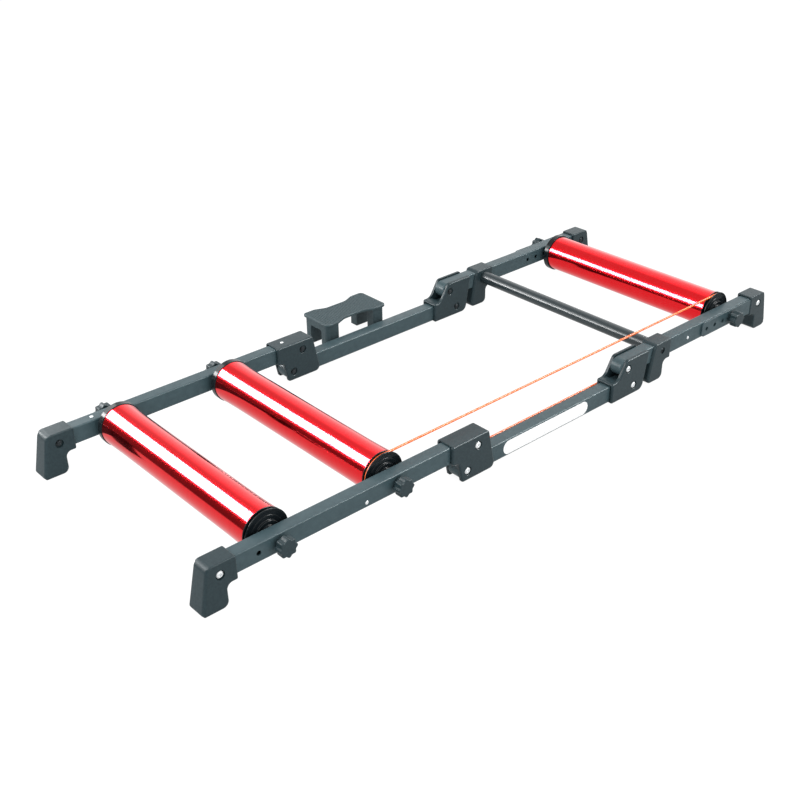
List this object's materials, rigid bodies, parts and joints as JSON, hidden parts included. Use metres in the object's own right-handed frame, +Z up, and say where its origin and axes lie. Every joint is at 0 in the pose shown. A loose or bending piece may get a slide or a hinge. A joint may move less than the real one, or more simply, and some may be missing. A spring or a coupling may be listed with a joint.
{
  "type": "bike rollers",
  "caption": "Folding bike rollers: drums on fixed axles in a hinged ladder frame with moulded feet, a round drive belt, clamping knobs and a step stool.",
  "frame": {"origin": "on the floor, under the middle of the whole object's box, stool and knobs included", "axes": "+X along the frame from the two rear rollers to the single front roller, +Y to the left, where the stool stands, +Z up"},
  "size_m": [1.3982, 0.6172, 0.0978],
  "materials": {
    "frame_paint": "satin blue-grey paint",
    "moulded_plastic": "fine-grained moulded nylon",
    "cap_plastic": "smooth black",
    "red_anodised": "bright red anodised, fine turned lines",
    "bearing_steel": "ground",
    "dark_steel": "blackened",
    "zinc": "bright zinc plate",
    "belt_orange": "smooth polyurethane",
    "stool_plastic": "ribbed moulded plastic"
  },
  "bodies": {
    "middle_section": {"middle_rail_left": "frame_paint", "front_hinge_left": "moulded_plastic", "front_lock_bolt_left": "zinc", "front_pivot_bolt_left": "zinc", "middle_rail_right": "frame_paint", "front_hinge_right": "moulded_plastic", "front_lock_bolt_right": "zinc", "front_pivot_bolt_right": "zinc", "drive_belt": "belt_orange"},
    "rear_section": {"rear_rail_left": "frame_paint", "rear_hinge_left": "moulded_plastic", "rear_lock_bolt_left": "zinc", "rear_pivot_bolt_left": "zinc", "rear_foot_left": "moulded_plastic", "rear_foot_bolt_left": "zinc", "rear_rail_right": "frame_paint", "rear_hinge_right": "moulded_plastic", "rear_lock_bolt_right": "zinc", "rear_pivot_bolt_right": "zinc", "rear_foot_right": "moulded_plastic", "rear_foot_bolt_right": "zinc", "rear_axle": "bearing_steel", "middle_axle": "bearing_steel"},
    "front_section": {"front_rail_left": "frame_paint", "adjusting_plate_left": "frame_paint", "front_foot_left": "moulded_plastic", "front_foot_bolt_left": "zinc", "middle_foot_left": "moulded_plastic", "middle_foot_bolt_left": "dark_steel", "front_rail_right": "frame_paint", "adjusting_plate_right": "frame_paint", "front_foot_right": "moulded_plastic", "front_foot_bolt_right": "zinc", "middle_foot_right": "moulded_plastic", "middle_foot_bolt_right": "dark_steel", "cross_tube": "frame_paint", "front_axle": "bearing_steel"},
    "rear_roller": {"rear_drum": "red_anodised", "rear_cap_left": "cap_plastic", "rear_bearing_left": "bearing_steel", "rear_cap_right": "cap_plastic", "rear_bearing_right": "bearing_steel"},
    "rear_knob_left_body": {"rear_knob_left": "moulded_plastic"},
    "rear_knob_right_body": {"rear_knob_right": "moulded_plastic"},
    "middle_roller": {"middle_drum": "red_anodised", "middle_cap_left": "cap_plastic", "middle_bearing_left": "bearing_steel", "middle_cap_right": "cap_plastic", "middle_bearing_right": "bearing_steel"},
    "middle_knob_left_body": {"middle_knob_left": "moulded_plastic"},
    "middle_knob_right_body": {"middle_knob_right": "moulded_plastic"},
    "front_roller": {"front_drum": "red_anodised", "front_cap_left": "cap_plastic", "front_bearing_left": "bearing_steel", "front_cap_right": "cap_plastic", "front_bearing_right": "bearing_steel"},
    "front_knob_left_body": {"front_knob_left": "moulded_plastic"},
    "front_knob_right_body": {"front_knob_right": "moulded_plastic"},
    "stool": {"step_stool": "stool_plastic"}
  },
  "joints": [
    {"name": "front_fold", "type": "hinge", "parent": "middle_section", "child": "front_section", "pos_m": [0.239, -0.03345, 0.05825], "axis": [0, -1, 0], "range_deg": [0, 180]},
    {"name": "rear_fold", "type": "hinge", "parent": "middle_section", "child": "rear_section", "pos_m": [-0.177, -0.03345, 0.01805], "axis": [0, -1, 0], "range_deg": [0, 180], "deforming": ["drive_belt"]},
    {"name": "rear_roller_spin", "type": "hinge", "parent": "rear_section", "child": "rear_roller", "pos_m": [-0.555, -0.03345, 0.05825], "axis": [0, 1, 0], "continuous": true},
    {"name": "rear_knob_left_turn", "type": "hinge", "parent": "rear_section", "child": "rear_knob_left_body", "pos_m": [-0.555, -0.03345, 0.05825], "axis": [0, 1, 0], "continuous": true},
    {"name": "rear_knob_right_turn", "type": "hinge", "parent": "rear_section", "child": "rear_knob_right_body", "pos_m": [-0.555, -0.03345, 0.05825], "axis": [0, -1, 0], "continuous": true},
    {"name": "middle_roller_spin", "type": "hinge", "parent": "rear_section", "child": "middle_roller", "pos_m": [-0.326, -0.03345, 0.05825], "axis": [0, 1, 0], "continuous": true},
    {"name": "middle_knob_left_turn", "type": "hinge", "parent": "rear_section", "child": "middle_knob_left_body", "pos_m": [-0.326, -0.03345, 0.05825], "axis": [0, 1, 0], "continuous": true},
    {"name": "middle_knob_right_turn", "type": "hinge", "parent": "rear_section", "child": "middle_knob_right_body", "pos_m": [-0.326, -0.03345, 0.05825], "axis": [0, -1, 0], "continuous": true},
    {"name": "front_roller_spin", "type": "hinge", "parent": "front_section", "child": "front_roller", "pos_m": [0.566, -0.03345, 0.05825], "axis": [0, 1, 0], "continuous": true},
    {"name": "front_knob_left_turn", "type": "hinge", "parent": "front_section", "child": "front_knob_left_body", "pos_m": [0.566, -0.03345, 0.05825], "axis": [0, 1, 0], "continuous": true},
    {"name": "front_knob_right_turn", "type": "hinge", "parent": "front_section", "child": "front_knob_right_body", "pos_m": [0.566, -0.03345, 0.05825], "axis": [0, -1, 0], "continuous": true},
    {"name": "stool_lift", "type": "slide", "parent": "middle_section", "child": "stool", "axis": [0, 0, 1], "range_m": [0, 0.2]}
  ],
  "couplings": [
    {"joint": "front_fold", "follows": "rear_fold", "ratio": 1},
    {"joint": "front_roller_spin", "follows": "middle_roller_spin", "ratio": 1}
  ]
}
